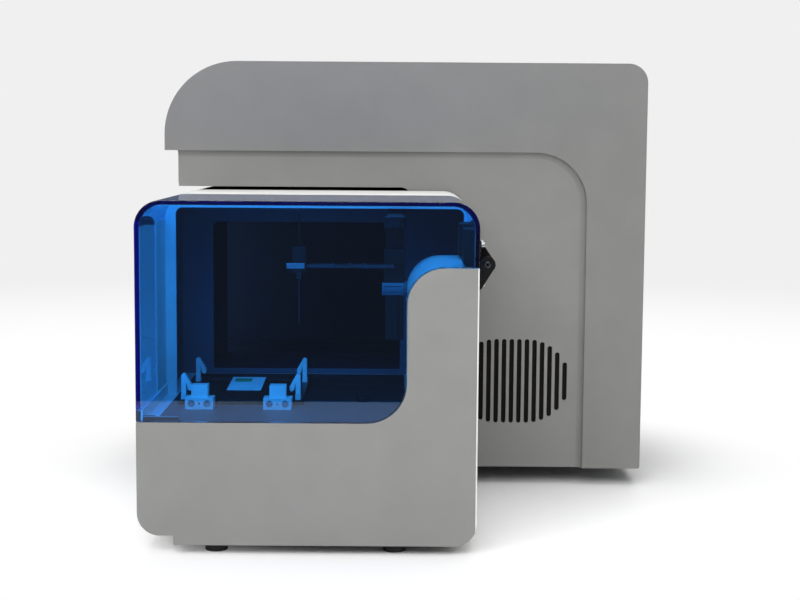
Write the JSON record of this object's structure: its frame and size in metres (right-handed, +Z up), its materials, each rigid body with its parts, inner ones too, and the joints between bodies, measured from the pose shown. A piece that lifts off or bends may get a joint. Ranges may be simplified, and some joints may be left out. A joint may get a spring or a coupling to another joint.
{
  "type": "flow cytometer",
  "caption": "Bench flow cytometer with a docked plate sampler: curved cabinet, vented side, hinged clear blue hood over a plate nest and a moving needle arm.",
  "frame": {"origin": "centre of the whole object's footprint on the bench, at the underside of the feet", "axes": "+X to the cabinet's rear, -X to its curved nose, -Y to the sampler's front panel and the hood, +Z up"},
  "size_m": [0.622, 0.78, 0.551],
  "materials": {
    "cover_paint": "fine-textured satin grey",
    "panel_paint": "fine-textured satin grey",
    "front_paint": "satin grey",
    "casing_paint": "satin light grey",
    "dark_sheet": "matte black",
    "pan_steel": "satin dark grey",
    "floor_sheet": "matte dark grey",
    "steel": "brushed",
    "rubber": "matte",
    "black_plastic": "fine matte",
    "fan_plastic": "matte",
    "white_plastic": "smooth",
    "card": "smooth",
    "blue_acrylic": "polished, see-through",
    "anodised_dark": "black anodised",
    "anodised_clear": "satin anodised",
    "hinge_black": "satin",
    "pump_plastic": "smooth"
  },
  "bodies": {
    "instrument": {"cabinet_cover": "cover_paint", "docking_side_panel": "panel_paint", "far_side_panel": "panel_paint", "nose_fascia": "panel_paint", "base_pan": "pan_steel", "bay_liner": "dark_sheet", "sample_port": "steel", "cabinet_feet": "rubber", "vent_filter": "black_plastic", "fan_frame": "fan_plastic", "connector_panel": "dark_sheet", "power_inlet": "black_plastic", "data_ports": "steel", "front_panel": "front_paint", "sampler_base": "casing_paint", "sampler_pan": "pan_steel", "sampler_column": "casing_paint", "chamber_floor": "floor_sheet", "rear_tray": "dark_sheet", "sampler_casing": "casing_paint", "docking_neck": "dark_sheet", "sampler_feet": "rubber", "dock_brackets": "pan_steel", "column_leaves": "hinge_black", "hinge_pins": "hinge_black", "catch_magnet": "pan_steel", "nest_plate": "anodised_dark", "left_stop": "white_plastic", "right_stop": "white_plastic", "stop_screws": "steel", "clip_brackets": "white_plastic", "plate_card": "card", "gantry_rail": "anodised_dark", "wash_cup": "black_plastic", "pump_mount": "pan_steel"},
    "hood": {"hood": "blue_acrylic", "hood_leaves": "hinge_black", "hinge_backing": "black_plastic", "hood_keeper": "steel"},
    "gantry": {"gantry_saddle": "anodised_dark", "lift_mast": "anodised_dark"},
    "lift": {"lift_block": "anodised_dark", "rear_beam": "anodised_dark"},
    "reach": {"front_beam": "anodised_clear"},
    "probe": {"probe_carriage": "black_plastic", "needle": "steel"},
    "pump": {"pump_rotor": "pump_plastic"},
    "fan": {"fan_rotor": "fan_plastic"},
    "rocker": {"power_rocker": "black_plastic"},
    "clip_a": {"clip_front_left": "white_plastic"},
    "clip_b": {"clip_front_right": "white_plastic"},
    "clip_c": {"clip_rear_left": "white_plastic"},
    "clip_d": {"clip_rear_right": "white_plastic"}
  },
  "joints": [
    {"name": "hood_hinge", "type": "hinge", "parent": "instrument", "child": "hood", "pos_m": [0.0871, -0.32, 0.3181], "axis": [0, 1, 0], "range_deg": [0, 100]},
    {"name": "gantry_slide", "type": "slide", "parent": "instrument", "child": "gantry", "axis": [0, 1, 0], "range_m": [-0.035, 0.045]},
    {"name": "lift_slide", "type": "slide", "parent": "gantry", "child": "lift", "axis": [0, 0, 1], "range_m": [-0.066, 0]},
    {"name": "reach_slide", "type": "slide", "parent": "lift", "child": "reach", "axis": [-1, 0, 0], "range_m": [0, 0.08]},
    {"name": "probe_slide", "type": "slide", "parent": "reach", "child": "probe", "axis": [1, 0, 0], "range_m": [0, 0.075]},
    {"name": "pump_spin", "type": "hinge", "parent": "instrument", "child": "pump", "pos_m": [-0.012, -0.34, 0.288], "axis": [1, 0, 0], "continuous": true},
    {"name": "fan_spin", "type": "hinge", "parent": "instrument", "child": "fan", "pos_m": [0.1411, -0.013, 0.137], "axis": [0, 1, 0], "continuous": true},
    {"name": "rocker_tip", "type": "hinge", "parent": "instrument", "child": "rocker", "pos_m": [0.296, 0.195, 0.12], "axis": [0, -1, 0], "range_deg": [0, 16]},
    {"name": "clip_a_hinge", "type": "hinge", "parent": "instrument", "child": "clip_a", "pos_m": [-0.256, -0.268, 0.157], "axis": [0, -1, 0], "range_deg": [0, 12], "stiffness_Nm_per_rad": 0.05, "springref_deg": -5.73},
    {"name": "clip_b_hinge", "type": "hinge", "parent": "instrument", "child": "clip_b", "pos_m": [-0.124, -0.268, 0.157], "axis": [0, 1, 0], "range_deg": [0, 12], "stiffness_Nm_per_rad": 0.05, "springref_deg": -5.73},
    {"name": "clip_c_hinge", "type": "hinge", "parent": "instrument", "child": "clip_c", "pos_m": [-0.256, -0.137, 0.157], "axis": [0, -1, 0], "range_deg": [0, 12], "stiffness_Nm_per_rad": 0.05, "springref_deg": -5.73},
    {"name": "clip_d_hinge", "type": "hinge", "parent": "instrument", "child": "clip_d", "pos_m": [-0.124, -0.137, 0.157], "axis": [0, 1, 0], "range_deg": [0, 12], "stiffness_Nm_per_rad": 0.05, "springref_deg": -5.73}
  ]
}
